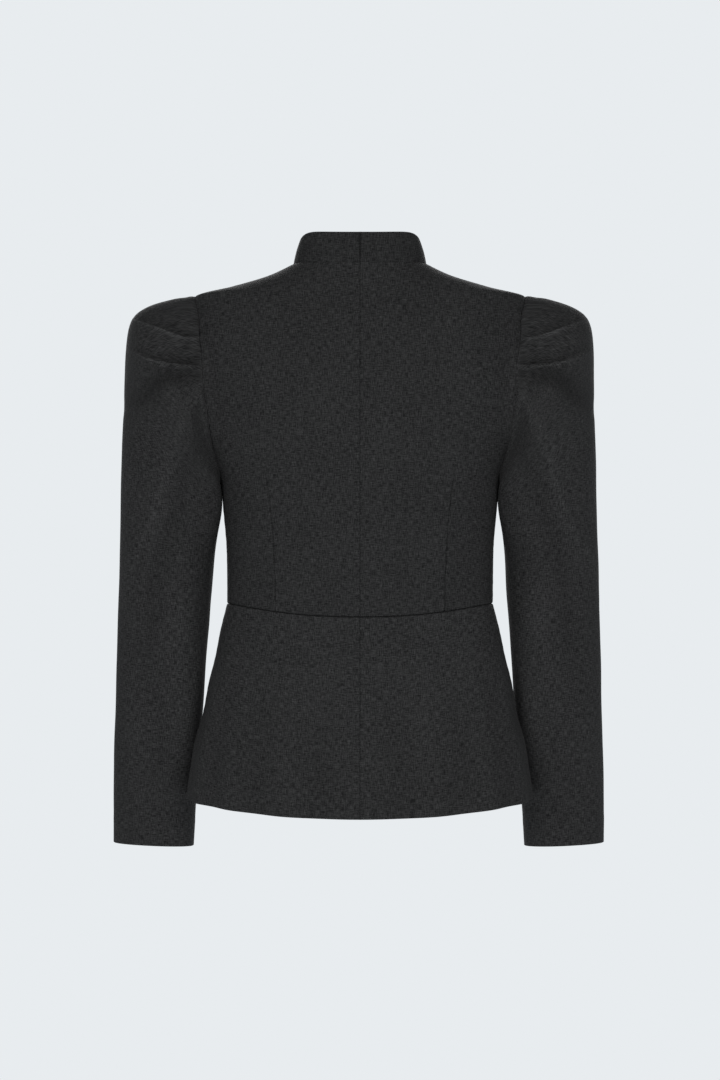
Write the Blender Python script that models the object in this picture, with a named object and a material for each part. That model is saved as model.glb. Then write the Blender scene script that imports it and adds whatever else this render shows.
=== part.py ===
"""Short fitted jacket with a stand collar, full pleated sleeve heads and a flared peplum.

The jacket is filled out as if worn. It faces -Y, the wearer's left is +X, and height 0 is the level of
the neck points, where the wearer's shoulders carry it. All sizes are in metres.
"""
import math
from collections import namedtuple

import bmesh
import bpy
import numpy as np

CLOTH = 0.002
COLLAR_CLOTH = 0.0024
SEAM_GAP = 0.0003

UNDERARM_HEIGHT = -0.236
SHOULDER_TIP_HEIGHT = -0.0355
WAIST_SIDE_HEIGHT = -0.372
WAIST_CENTRE_DIP = 0.013
PEPLUM_LENGTH = 0.2145
PEPLUM_CENTRE_SHORTER = 0.0015

NECK_HALF_WIDTH = 0.073
NECK_DROP_BACK = 0.003
NECK_DROP_FRONT = 0.075
NECK_FRONT_CURVE = 2.3
COLLAR_TOP_HALF_WIDTH = 0.0655
COLLAR_TOP_BACK = 0.054
COLLAR_TOP_FRONT = 0.072
COLLAR_STAND_BACK = 0.0325
COLLAR_STAND_SIDE = 0.027
COLLAR_STAND_FRONT = 0.028

ARMHOLE_BACK = 0.057
ARMHOLE_FRONT = 0.065

LAP_PAST_CENTRE = 0.012
LAP_LIFT = 0.0032
LAP_FADE_START = 0.014
LAP_FADE_END = 0.060

BUST_ACROSS = 0.082
BUST_HEIGHT = -0.222
BUST_SPREAD = 0.052
BUST_RISE = 0.011

FLUTES_A_QUARTER = 4
FLUTE_DEPTH = 0.0024

BODY_FULLNESS = 2.3
COLLAR_BACK_FULLNESS = 2.8
COLLAR_FRONT_FULLNESS = 2.0

CHARCOAL = (0.024, 0.024, 0.025, 1.0)

BACK = 1
FRONT = -1

# The torso that the bodice follows, from the neck points down to the waist seam. Above the underarm the
# half width is that of the body and sleeve root together, and the armhole cuts it off.
Torso = namedtuple("Torso", "height half_width back front")
TORSO = (
    Torso(0.000, 0.0730, 0.0600, 0.0350),
    Torso(-0.0125, 0.1000, 0.0635, 0.0480),
    Torso(-0.0255, 0.1430, 0.0680, 0.0580),
    Torso(-0.0355, 0.1810, 0.0720, 0.0640),
    Torso(-0.060, 0.1880, 0.0850, 0.0730),
    Torso(-0.090, 0.1950, 0.0940, 0.0830),
    Torso(-0.130, 0.1950, 0.1000, 0.0950),
    Torso(-0.180, 0.1810, 0.0990, 0.1060),
    Torso(-0.215, 0.1645, 0.0955, 0.1110),
    Torso(-0.236, 0.1545, 0.0925, 0.1120),
    Torso(-0.274, 0.1490, 0.0870, 0.1080),
    Torso(-0.316, 0.1455, 0.0810, 0.0980),
    Torso(-0.372, 0.1446, 0.0765, 0.0890),
)

# The peplum, by the distance below the waist seam.
Flare = namedtuple("Flare", "drop half_width back front")
PEPLUM = (
    Flare(0.000, 0.1446, 0.0765, 0.0890),
    Flare(0.030, 0.1529, 0.0850, 0.0960),
    Flare(0.058, 0.1590, 0.0920, 0.1020),
    Flare(0.087, 0.1664, 0.0985, 0.1080),
    Flare(0.121, 0.1727, 0.1050, 0.1140),
    Flare(0.155, 0.1822, 0.1110, 0.1195),
    Flare(0.187, 0.1868, 0.1160, 0.1240),
    Flare(0.220, 0.1914, 0.1200, 0.1280),
)

# Sleeve sections from the armhole to the cuff. Each is an oval between a crown point, on its outer side,
# and an under point, on the side of the body. "middle" is how far forward (negative) its centre lies.
Round = namedtuple("Round", "crown_x crown_height under_x under_height back front middle")
SLEEVE = (
    Round(0.1810, -0.0355, 0.1548, -0.2360, 0.057, 0.065, 0.000),
    Round(0.1970, -0.0368, 0.1568, -0.2385, 0.065, 0.070, 0.000),
    Round(0.2150, -0.0402, 0.1575, -0.2410, 0.072, 0.074, 0.000),
    Round(0.2325, -0.0462, 0.1575, -0.2440, 0.077, 0.077, 0.000),
    Round(0.2480, -0.0570, 0.1575, -0.2470, 0.079, 0.078, 0.000),
    Round(0.2545, -0.0730, 0.1570, -0.2500, 0.078, 0.077, 0.000),
    Round(0.2570, -0.0960, 0.1565, -0.2540, 0.074, 0.074, -0.001),
    Round(0.2582, -0.1260, 0.1560, -0.2590, 0.069, 0.069, -0.002),
    Round(0.2594, -0.1620, 0.1555, -0.2660, 0.064, 0.064, -0.003),
    Round(0.2609, -0.2080, 0.1558, -0.2760, 0.060, 0.060, -0.004),
    Round(0.2620, -0.2580, 0.1573, -0.2940, 0.057, 0.057, -0.006),
    Round(0.2635, -0.3150, 0.1606, -0.3200, 0.054, 0.054, -0.008),
    Round(0.2655, -0.3730, 0.1655, -0.3730, 0.051, 0.051, -0.013),
    Round(0.2680, -0.4300, 0.1705, -0.4300, 0.049, 0.049, -0.024),
    Round(0.2705, -0.4900, 0.1752, -0.4900, 0.0475, 0.0475, -0.038),
    Round(0.2735, -0.5450, 0.1800, -0.5450, 0.046, 0.046, -0.052),
    Round(0.2752, -0.5950, 0.1845, -0.5950, 0.045, 0.045, -0.064),
    Round(0.2760, -0.6390, 0.1880, -0.6430, 0.0445, 0.0445, -0.073),
)
CUFF_FRONT_LOWER = 0.004
FOLDS_FULL_BY = 0.8

# The main folds of the left sleeve, as crest lines in front view: across, height, and the rise there.
# A negative rise is a trough. The right sleeve mirrors them.
Crest = namedtuple("Crest", "x height rise")
Fold = namedtuple("Fold", "side spread crest")


def fold(side, spread, *crest):
    return Fold(side, spread, [Crest(*row) for row in crest])


SLEEVE_FOLDS = (
    fold(BACK, 0.0075, (0.177, -0.068, -0.003), (0.208, -0.065, -0.004), (0.234, -0.056, -0.002)),
    fold(BACK, 0.0075, (0.176, -0.084, 0.004), (0.207, -0.077, 0.005), (0.244, -0.063, 0.003)),
    fold(BACK, 0.0085, (0.178, -0.099, -0.004), (0.200, -0.098, -0.005), (0.240, -0.082, -0.003)),
    fold(BACK, 0.0085, (0.171, -0.115, 0.004), (0.218, -0.110, 0.006), (0.252, -0.096, 0.003)),
    fold(BACK, 0.0110, (0.171, -0.120, -0.002), (0.210, -0.126, -0.006), (0.250, -0.163, -0.003)),
    fold(BACK, 0.0130, (0.171, -0.142, 0.003), (0.197, -0.184, 0.005), (0.222, -0.256, 0.004),
         (0.250, -0.315, 0.003), (0.260, -0.374, 0.001)),
    fold(BACK, 0.0130, (0.172, -0.167, -0.002), (0.205, -0.281, -0.005), (0.219, -0.358, -0.004),
         (0.246, -0.457, -0.003), (0.256, -0.502, -0.001)),
    fold(FRONT, 0.0080, (0.170, -0.070, 0.004), (0.205, -0.075, 0.005), (0.244, -0.063, 0.003)),
    fold(FRONT, 0.0085, (0.168, -0.090, -0.004), (0.202, -0.093, -0.005), (0.240, -0.082, -0.003)),
    fold(FRONT, 0.0085, (0.166, -0.106, 0.004), (0.214, -0.108, 0.006), (0.252, -0.096, 0.003)),
    fold(FRONT, 0.0120, (0.166, -0.124, -0.003), (0.212, -0.132, -0.006), (0.248, -0.170, -0.003)),
    fold(FRONT, 0.0140, (0.168, -0.150, 0.003), (0.190, -0.215, 0.005), (0.200, -0.300, 0.003),
         (0.190, -0.370, 0.001)),
)

BODICE_COLUMNS = 10
CENTRE_ROWS = 17
NECK_ROWS = 6
PEPLUM_COLUMNS = 20
PEPLUM_ROWS = 6
COLLAR_ROWS = 2
ARMHOLE_ROWS = 18
SLEEVE_ROWS = 22


def along(rows, key, value):
    """A smooth function through one column of a table, which never swings past its rows."""
    rows = sorted(rows, key=lambda row: getattr(row, key))
    x = np.array([getattr(row, key) for row in rows])
    y = np.array([getattr(row, value) for row in rows])
    return smooth_through(x, y)


def smooth_through(x, y):
    """Monotone cubic curve through the points (x, y)."""
    step = np.diff(x)
    slope = np.diff(y) / step
    tangent = np.zeros_like(y)
    tangent[0], tangent[-1] = slope[0], slope[-1]
    for i in range(1, len(x) - 1):
        if slope[i - 1] * slope[i] > 0:
            tangent[i] = 2 / (1 / slope[i - 1] + 1 / slope[i])

    def value_at(q):
        q = np.clip(q, x[0], x[-1])
        i = np.clip(np.searchsorted(x, q) - 1, 0, len(x) - 2)
        t = (q - x[i]) / step[i]
        rising = t * t * (3 - 2 * t)
        leaving = t * (1 - t) ** 2 * step[i] * tangent[i]
        arriving = t * t * (t - 1) * step[i] * tangent[i + 1]
        return (1 - rising) * y[i] + rising * y[i + 1] + leaving + arriving

    return value_at


torso_half_width = along(TORSO, "height", "half_width")
torso_depth = {BACK: along(TORSO, "height", "back"), FRONT: along(TORSO, "height", "front")}
peplum_half_width = along(PEPLUM, "drop", "half_width")
peplum_depth = {BACK: along(PEPLUM, "drop", "back"), FRONT: along(PEPLUM, "drop", "front")}


def fade(value, start, end):
    """Goes smoothly from 0 at start to 1 at end."""
    t = np.clip((value - start) / (end - start), 0, 1)
    return t * t * (3 - 2 * t)


def signed_power(value, power):
    return np.sign(value) * np.abs(value) ** power


def oval(turn, half_width, depth, fullness):
    """Across and depth on a rounded section. turn is 0 on the centre line, a quarter turn at the side."""
    across = half_width * signed_power(np.sin(turn), 2 / fullness)
    return across, depth * signed_power(np.cos(turn), 2 / fullness)


def turn_at(ratio, fullness):
    """The turn at which an oval is at this share of its half width."""
    return np.arcsin(np.clip(signed_power(ratio, fullness / 2), -1, 1))


def bodice_point(side, turn, height):
    """A point of the bodice's outer face."""
    x, depth = oval(turn, torso_half_width(height), torso_depth[side](height), BODY_FULLNESS)
    if side == FRONT:
        far = ((np.abs(x) - BUST_ACROSS) ** 2 + (height - BUST_HEIGHT) ** 2) / BUST_SPREAD ** 2
        depth = depth + BUST_RISE * np.exp(-far) * fade(np.abs(np.cos(turn)), 0.0, 0.5)
    return np.stack([x, side * depth, height], axis=-1)


def waist_height(turn):
    return WAIST_SIDE_HEIGHT - WAIST_CENTRE_DIP * np.cos(turn) ** 2


def peplum_point(side, turn, drop):
    """A point of the peplum's outer face, drop metres below the waist seam."""
    x, depth = oval(turn, peplum_half_width(drop), peplum_depth[side](drop), BODY_FULLNESS)
    wave = FLUTE_DEPTH * (np.abs(drop) / PEPLUM_LENGTH) ** 1.5 * (np.cos(4 * FLUTES_A_QUARTER * turn) - 1)
    reach = np.hypot(x, depth)
    x, depth = x * (1 + wave / reach), depth * (1 + wave / reach)
    return np.stack([x, side * depth, waist_height(turn) - drop], axis=-1)


def neckline(side, turn):
    """Across and height along the neckline, from the centre line to the neck point."""
    if side == BACK:
        across = NECK_HALF_WIDTH * signed_power(np.sin(turn), 2 / BODY_FULLNESS)
        return across, -NECK_DROP_BACK * np.cos(turn) ** 2
    return NECK_HALF_WIDTH * np.sin(turn), -NECK_DROP_FRONT * np.abs(np.cos(turn)) ** NECK_FRONT_CURVE


def armhole(side, turn):
    """Depth and height round the armhole, from the shoulder tip at 0 to the underarm at half a turn."""
    middle = (SHOULDER_TIP_HEIGHT + UNDERARM_HEIGHT) / 2
    reach = (SHOULDER_TIP_HEIGHT - UNDERARM_HEIGHT) / 2
    depth = ARMHOLE_BACK if side == BACK else ARMHOLE_FRONT
    return depth * np.sin(turn), middle + reach * np.cos(turn)


def body_turn_at_depth(side, depth, height):
    share = np.clip(depth / torso_depth[side](height), 0, 1)
    return np.arccos(share ** (BODY_FULLNESS / 2))


def outward(surface, turn, level, turn_step=1e-3, level_step=1e-4):
    """Unit normals of surface(turn, level), pointing away from the body's axis."""
    around = surface(turn + turn_step, level) - surface(turn - turn_step, level)
    upward = surface(turn, level + level_step) - surface(turn, level - level_step)
    normal = np.cross(around, upward)
    normal /= np.linalg.norm(normal, axis=-1, keepdims=True)
    point = surface(turn, level)
    away = point * (1, 1, 0) + (0, 0, 0.02)
    return normal * np.sign(np.sum(normal * away, axis=-1, keepdims=True))


def trimmed(sheet):
    """Draws the four edges of a grid of points in by half a seam gap."""
    sheet = sheet.copy()
    for axis in (0, 1):
        moved = np.moveaxis(sheet, axis, 0)
        for edge, inner in ((0, 1), (-1, -2)):
            inwards = moved[inner] - moved[edge]
            length = np.linalg.norm(inwards, axis=-1, keepdims=True)
            moved[edge] += inwards / length * SEAM_GAP / 2
    return sheet


def lapped(points, normals):
    """Lays the upper front out over the lower one, from its free edge back to its own side."""
    level = normals * (1, 1, 0)
    level /= np.linalg.norm(level, axis=-1, keepdims=True)
    return points + level * LAP_LIFT * (1 - fade(points[..., :1], LAP_FADE_START, LAP_FADE_END))


def panel(outer, normals, thickness):
    """Outer and inner faces of a cloth panel, each drawn in from its seams."""
    return trimmed(outer), trimmed(outer - thickness * normals)


def cloth_object(name, faces, material, collection, closed=False):
    """Makes one wall of cloth from its outer and inner grids of points, closed at every edge."""
    outer, inner = faces
    corner = outer[0, 0]
    if np.linalg.det(np.array([outer[1, 0] - corner, outer[0, 1] - corner, corner - inner[0, 0]])) < 0:
        outer, inner = outer[::-1], inner[::-1]
    rows, columns = outer.shape[:2]
    mesh = bpy.data.meshes.new(name)
    body = bmesh.new()
    grids = [[[body.verts.new(point) for point in row] for row in sheet] for sheet in (outer, inner)]
    last = columns if closed else columns - 1
    for i in range(rows - 1):
        for j in range(last):
            k = (j + 1) % columns
            body.faces.new((grids[0][i][j], grids[0][i + 1][j], grids[0][i + 1][k], grids[0][i][k]))
            body.faces.new((grids[1][i][j], grids[1][i][k], grids[1][i + 1][k], grids[1][i + 1][j]))
    for j in range(last):
        k = (j + 1) % columns
        body.faces.new((grids[0][0][j], grids[0][0][k], grids[1][0][k], grids[1][0][j]))
        body.faces.new((grids[0][-1][j], grids[1][-1][j], grids[1][-1][k], grids[0][-1][k]))
    if not closed:
        for i in range(rows - 1):
            body.faces.new((grids[0][i][0], grids[1][i][0], grids[1][i + 1][0], grids[0][i + 1][0]))
            body.faces.new((grids[0][i][-1], grids[0][i + 1][-1], grids[1][i + 1][-1], grids[1][i][-1]))
    bmesh.ops.triangulate(body, faces=body.faces)
    body.to_mesh(mesh)
    body.free()
    mesh.shade_smooth()
    mesh.set_sharp_from_angle(angle=math.radians(50))
    mesh.materials.append(material)
    piece = bpy.data.objects.new(name, mesh)
    collection.objects.link(piece)
    return piece


def mirrored(faces):
    return tuple(sheet * (-1, 1, 1) for sheet in faces)


def bodice_layout(side, past_centre):
    """Turn and height of each grid point of a bodice half.

    One side of the grid runs up the centre line and on round the neckline, the other up the side seam and
    on round the armhole, and its last row is the shoulder seam.
    """
    rows = CENTRE_ROWS + NECK_ROWS
    side_rows = rows - ARMHOLE_ROWS
    neck_turn_start = -math.asin(past_centre / NECK_HALF_WIDTH)
    neck_x, neck_top = neckline(side, np.array(neck_turn_start))
    waist_start = -turn_at(past_centre / torso_half_width(WAIST_SIDE_HEIGHT), BODY_FULLNESS)
    centre_foot = waist_height(waist_start)
    turns, heights = [], []
    for row in range(rows + 1):
        if row <= CENTRE_ROWS:
            near_height = centre_foot + (neck_top - centre_foot) * row / CENTRE_ROWS
            near_x = -past_centre
        else:
            share = (row - CENTRE_ROWS) / NECK_ROWS
            near_x, near_height = neckline(side, neck_turn_start + (math.pi / 2 - neck_turn_start) * share)
        near_turn = turn_at(near_x / torso_half_width(near_height), BODY_FULLNESS)
        if row == rows:
            near_turn = math.pi / 2
        if row <= side_rows:
            far_height = WAIST_SIDE_HEIGHT + (UNDERARM_HEIGHT - WAIST_SIDE_HEIGHT) * row / side_rows
            far_turn = math.pi / 2
        else:
            share = (row - side_rows) / (rows - side_rows)
            depth, far_height = armhole(side, math.pi * (1 - share))
            far_turn = body_turn_at_depth(side, depth, far_height)
        across = np.linspace(0, 1, BODICE_COLUMNS + 1)
        turns.append(near_turn + (far_turn - near_turn) * across)
        heights.append(near_height + (far_height - near_height) * np.sin(across * math.pi / 2) ** 2)
    heights[0] = waist_height(turns[0])
    return np.array(turns), np.array(heights)


def bodice_half(side, past_centre, lifted):
    """Outer and inner grids of the wearer's left half, or of the lapping half before it is mirrored."""
    turns, heights = bodice_layout(side, past_centre)
    surface = lambda turn, height: bodice_point(side, turn, height)
    outer = surface(turns, heights)
    normals = outward(surface, turns, heights)
    if lifted:
        outer = lapped(outer, normals)
    return panel(outer, normals, CLOTH)


def peplum_half(side, past_centre, lifted):
    start = -turn_at(past_centre / PEPLUM[0].half_width, BODY_FULLNESS)
    turns, shares = np.meshgrid(np.linspace(start, math.pi / 2, PEPLUM_COLUMNS + 1),
                                np.linspace(1, 0, PEPLUM_ROWS + 1))
    drops = shares * (PEPLUM_LENGTH - PEPLUM_CENTRE_SHORTER * np.cos(turns) ** 2)
    surface = lambda turn, drop: peplum_point(side, turn, drop)
    outer = surface(turns, drops)
    normals = outward(surface, turns, drops)
    if lifted:
        outer = lapped(outer, normals)
    return panel(outer, normals, CLOTH)


def collar_foot(side, turn, lifted):
    """Points of the collar's lower edge, on the neckline of the bodice."""
    x, height = neckline(side, turn)
    body_turn = turn_at(x / torso_half_width(height), BODY_FULLNESS)
    body_turn = np.where(np.isclose(turn, math.pi / 2), math.pi / 2, body_turn)
    surface = lambda turn, height: bodice_point(side, turn, height)
    foot = surface(body_turn, height)
    if lifted and side == FRONT:
        foot = lapped(foot, outward(surface, body_turn, height))
    return foot


def collar_rise(side, turn):
    """How the collar's free edge lies from its foot: round its own oval, a stand's height above."""
    if side == BACK:
        depth, stand, fullness = COLLAR_TOP_BACK, COLLAR_STAND_BACK, COLLAR_BACK_FULLNESS
    else:
        depth, stand, fullness = COLLAR_TOP_FRONT, COLLAR_STAND_FRONT, COLLAR_FRONT_FULLNESS
    x, depth = oval(turn, COLLAR_TOP_HALF_WIDTH, depth, fullness)
    height = neckline(side, turn)[1] + COLLAR_STAND_SIDE + (stand - COLLAR_STAND_SIDE) * np.cos(turn) ** 2
    return np.stack([x, side * depth, height], axis=-1) - collar_foot(side, turn, False)


def collar_half(past_centre, lifted):
    """A stand collar half from the centre back round to the front edge."""
    back_turns = np.linspace(0, math.pi / 2, NECK_ROWS + 1)
    front_turns = np.linspace(math.pi / 2, -math.asin(past_centre / NECK_HALF_WIDTH), NECK_ROWS + 1)[1:]
    foot = np.concatenate([collar_foot(BACK, back_turns, lifted), collar_foot(FRONT, front_turns, lifted)])
    rise = np.concatenate([collar_rise(BACK, back_turns), collar_rise(FRONT, front_turns)])
    run = np.gradient(2 * foot + rise, axis=0)
    run[0] = (1, 0, 0)
    normal = np.cross(run, rise)
    normal /= np.linalg.norm(normal, axis=-1, keepdims=True)
    normal *= np.sign(np.sum(normal * (foot * (1, 1, 0)), axis=-1, keepdims=True))
    outer = np.array([foot + rise * row / COLLAR_ROWS for row in range(COLLAR_ROWS + 1)])
    return panel(outer, np.repeat(normal[None], COLLAR_ROWS + 1, axis=0), COLLAR_CLOTH)


def fold_rise(fold, x, height):
    """How far one fold lifts the cloth at each point."""
    nearest = np.full(x.shape, np.inf)
    rise = np.zeros(x.shape)
    for a, b in zip(fold.crest, fold.crest[1:]):
        run = np.array([b.x - a.x, b.height - a.height])
        share = np.clip(((x - a.x) * run[0] + (height - a.height) * run[1]) / run.dot(run), 0, 1)
        away = np.hypot(x - a.x - run[0] * share, height - a.height - run[1] * share)
        closer = away < nearest
        nearest = np.where(closer, away, nearest)
        rise = np.where(closer, a.rise + (b.rise - a.rise) * share, rise)
    return rise * np.exp(-(nearest / fold.spread) ** 2)


def sleeve_form(stations, turns):
    """Points of the smooth sleeve. turns runs round each section from the crown towards the back."""
    rank = np.arange(len(SLEEVE), dtype=float)
    column = {name: smooth_through(rank, np.array([getattr(row, name) for row in SLEEVE]))(stations)[:, None]
              for name in Round._fields}
    reach = np.cos(turns)[None, :]
    swing = np.sin(turns)[None, :]
    share = (1 + reach) / 2
    x = column["under_x"] + (column["crown_x"] - column["under_x"]) * share
    height = column["under_height"] + (column["crown_height"] - column["under_height"]) * share
    depth = column["middle"] + swing * np.where(swing > 0, column["back"], column["front"])
    at_cuff = fade(stations, len(SLEEVE) - 3, len(SLEEVE) - 1)[:, None]
    height = height - CUFF_FRONT_LOWER * (1 - swing) / 2 * at_cuff
    smooth = np.stack([x, depth, height], axis=-1)
    seam = []
    for turn in turns:
        side = BACK if math.sin(turn) >= 0 else FRONT
        depth, height = armhole(side, abs(math.remainder(turn, 2 * math.pi)))
        edge = bodice_point(side, body_turn_at_depth(side, depth, height), height)
        seam.append(edge + (SEAM_GAP, 0, 0))
    shift = np.array(seam) - smooth[0]
    held = 1 - fade(stations, 0, 4)[:, None, None]
    return smooth + shift[None] * held


def closed_normals(points):
    """Normals of a tube of points whose columns close up."""
    around = np.roll(points, -1, axis=1) - np.roll(points, 1, axis=1)
    down = np.gradient(points, axis=0)
    normal = np.cross(down, around)
    normal /= np.linalg.norm(normal, axis=-1, keepdims=True)
    middle = points.mean(axis=1, keepdims=True)
    return normal * np.sign(np.sum(normal * (points - middle), axis=-1, keepdims=True).mean())


def sleeve_tube():
    """Outer and inner grids of the left sleeve, from the armhole seam to the cuff."""
    stations = np.linspace(0, 1, SLEEVE_ROWS + 1) ** 1.05 * (len(SLEEVE) - 1)
    turns = np.arange(2 * ARMHOLE_ROWS) * math.pi / ARMHOLE_ROWS
    outer = sleeve_form(stations, turns)
    normals = closed_normals(outer)
    behind = fade(np.sin(turns), -0.3, 0.3)[None, :]
    x, height = outer[..., 0], outer[..., 2]
    lift = np.zeros(x.shape)
    for fold in SLEEVE_FOLDS:
        lift += fold_rise(fold, x, height) * (behind if fold.side == BACK else 1 - behind)
    lift *= fade(stations, 0, FOLDS_FULL_BY)[:, None]
    outer = outer + normals * lift[..., None]
    return outer, outer - CLOTH * closed_normals(outer)


def cloth_material():
    material = bpy.data.materials.new("charcoal_wool")
    material.use_nodes = True
    shader = material.node_tree.nodes["Principled BSDF"]
    shader.inputs["Base Color"].default_value = CHARCOAL
    shader.inputs["Roughness"].default_value = 0.9
    shader.inputs["Metallic"].default_value = 0.0
    return material


def build_jacket():
    for piece in list(bpy.data.objects):
        bpy.data.objects.remove(piece)
    collection = bpy.data.collections.new("short_jacket")
    bpy.context.scene.collection.children.link(collection)
    wool = cloth_material()
    back = bodice_half(BACK, 0.0, False)
    peplum_back = peplum_half(BACK, 0.0, False)
    sleeve = sleeve_tube()
    pieces = {
        "back_left": back,
        "back_right": mirrored(back),
        "front_left": bodice_half(FRONT, LAP_PAST_CENTRE, False),
        "front_right": mirrored(bodice_half(FRONT, LAP_PAST_CENTRE, True)),
        "peplum_back_left": peplum_back,
        "peplum_back_right": mirrored(peplum_back),
        "peplum_front_left": peplum_half(FRONT, LAP_PAST_CENTRE, False),
        "peplum_front_right": mirrored(peplum_half(FRONT, LAP_PAST_CENTRE, True)),
        "collar_left": collar_half(LAP_PAST_CENTRE, False),
        "collar_right": mirrored(collar_half(LAP_PAST_CENTRE, True)),
    }
    for name, faces in pieces.items():
        cloth_object(name, faces, wool, collection)
    cloth_object("sleeve_left", sleeve, wool, collection, closed=True)
    cloth_object("sleeve_right", mirrored(sleeve), wool, collection, closed=True)


build_jacket()
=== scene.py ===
"""A short fitted jacket in charcoal wool, filled out as worn and seen from behind.

Metres, +Z up. The jacket faces -Y, the wearer's left is +X, and height 0 is the level of the neck points.
"""
import math
from collections import namedtuple

import bpy
import numpy as np
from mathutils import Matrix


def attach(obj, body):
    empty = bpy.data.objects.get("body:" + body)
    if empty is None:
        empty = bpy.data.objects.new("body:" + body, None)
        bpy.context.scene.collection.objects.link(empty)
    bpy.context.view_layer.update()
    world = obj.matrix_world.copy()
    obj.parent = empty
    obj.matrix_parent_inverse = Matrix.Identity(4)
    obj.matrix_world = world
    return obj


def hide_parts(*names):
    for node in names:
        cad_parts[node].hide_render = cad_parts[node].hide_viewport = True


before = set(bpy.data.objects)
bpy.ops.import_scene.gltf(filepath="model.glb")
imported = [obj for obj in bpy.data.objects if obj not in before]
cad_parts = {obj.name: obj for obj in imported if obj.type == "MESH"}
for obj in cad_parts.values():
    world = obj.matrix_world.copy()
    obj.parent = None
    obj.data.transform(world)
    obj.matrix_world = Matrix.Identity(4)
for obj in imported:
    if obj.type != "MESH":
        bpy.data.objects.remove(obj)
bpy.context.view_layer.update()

# The view. The jacket is seen level from behind, from three metres off, with a long lens, in front of a
# seamless pale ground. The floor lies where a wearer's feet would stand.
CAMERA_DISTANCE = 3.0
CAMERA_HEIGHT = -0.3025
FRAME_HEIGHT = 1.188
SENSOR = 36.0
FLOOR_HEIGHT = -1.36
FLOOR_SIZE = 60
PALE_GROUND = (0.807, 0.839, 0.863, 1.0)
BACKDROP_GLOW = 0.29
FLOOR_GLOW = 0.95

camera_data = bpy.data.cameras.new("camera")
camera_data.sensor_fit = "VERTICAL"
camera_data.sensor_height = SENSOR
camera_data.lens = SENSOR * CAMERA_DISTANCE / FRAME_HEIGHT
camera = bpy.data.objects.new("camera", camera_data)
camera.location = (0, CAMERA_DISTANCE, CAMERA_HEIGHT)
camera.rotation_euler = (math.pi / 2, 0, math.pi)
bpy.context.collection.objects.link(camera)
bpy.context.scene.camera = camera
bpy.context.scene.view_settings.view_transform = "Standard"

world = bpy.data.worlds.new("pale_ground")
bpy.context.scene.world = world
world.use_nodes = True
world_tree = world.node_tree
world_tree.nodes["Background"].inputs["Color"].default_value = PALE_GROUND

bpy.ops.object.select_all(action="DESELECT")
bpy.ops.mesh.primitive_plane_add(size=FLOOR_SIZE, location=(0, 0, FLOOR_HEIGHT))
floor = bpy.context.object
floor.name = "floor"
ground = bpy.data.materials.new("pale_ground")
ground.use_nodes = True
ground_shader = ground.node_tree.nodes["Principled BSDF"]
ground_shader.inputs["Base Color"].default_value = (0, 0, 0, 1)
ground_shader.inputs["Specular IOR Level"].default_value = 0
ground_shader.inputs["Emission Color"].default_value = PALE_GROUND
floor.data.materials.append(ground)

# The ground is evenly pale where it is seen, and gives the jacket only part of that as light, as a far
# backdrop in a darkened studio does.
for tree, strength, dimmed in (
        (world_tree, world_tree.nodes["Background"].inputs["Strength"], BACKDROP_GLOW),
        (ground.node_tree, ground_shader.inputs["Emission Strength"], FLOOR_GLOW)):
    seen = tree.nodes.new("ShaderNodeLightPath")
    glow = tree.nodes.new("ShaderNodeMapRange")
    glow.inputs["To Min"].default_value = dimmed
    tree.links.new(seen.outputs["Is Camera Ray"], glow.inputs["Value"])
    tree.links.new(glow.outputs["Result"], strength)

# Two large softboxes stand either side of the camera, one fills from beside it, and two weaker ones light
# the front of the jacket.
SoftBox = namedtuple("SoftBox", "name place aim width height power")
SOFT_BOXES = (
    SoftBox("box_left", (1.8, 4.4, 1.0), (0, 0, -0.35), 1.6, 2.0, 66),
    SoftBox("box_right", (-1.8, 4.4, 1.0), (0, 0, -0.35), 1.6, 2.0, 61),
    SoftBox("box_camera", (0, 4.4, 2.1), (0, 0, -0.35), 2.4, 1.4, 60),
    SoftBox("box_front_left", (1.0, -3.6, 1.3), (0, 0, -0.30), 1.6, 2.0, 84),
    SoftBox("box_front_right", (-1.0, -3.6, 1.3), (0, 0, -0.30), 1.6, 2.0, 70),
)
for box in SOFT_BOXES:
    light_data = bpy.data.lights.new(box.name, "AREA")
    light_data.shape = "RECTANGLE"
    light_data.size, light_data.size_y = box.width, box.height
    light_data.energy = box.power
    light = bpy.data.objects.new(box.name, light_data)
    light.location = box.place
    towards = light.location.copy()
    towards.x, towards.y, towards.z = (a - b for a, b in zip(box.place, box.aim))
    light.rotation_euler = towards.to_track_quat("Z", "Y").to_euler()
    bpy.context.collection.objects.link(light)


# Back halves. Each runs from the waist seam to the shoulder seam, with a centre-back seam, a waist dart,
# a side seam and an armhole. The wool is a dense charcoal melange, 2 mm thick with what is turned in
# behind it, and every seam rolls in to the stitches.
BACK, FRONT = 1, -1
CLOTH = 0.0020
BODY_FULLNESS = 2.3
UNDERARM_HEIGHT = -0.236
SHOULDER_TIP_HEIGHT = -0.0355
ARMHOLE_MIDDLE = (SHOULDER_TIP_HEIGHT + UNDERARM_HEIGHT) / 2
ARMHOLE_REACH = (SHOULDER_TIP_HEIGHT - UNDERARM_HEIGHT) / 2
WAIST_SIDE_HEIGHT = -0.372
WAIST_CENTRE_DIP = 0.013
WAIST_CURVE = 2.6
NECK_HALF_WIDTH = 0.073
NECK_DROP_BACK = 0.003
ARMHOLE_BACK = 0.057
ARMHOLE_FRONT = 0.065

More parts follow.
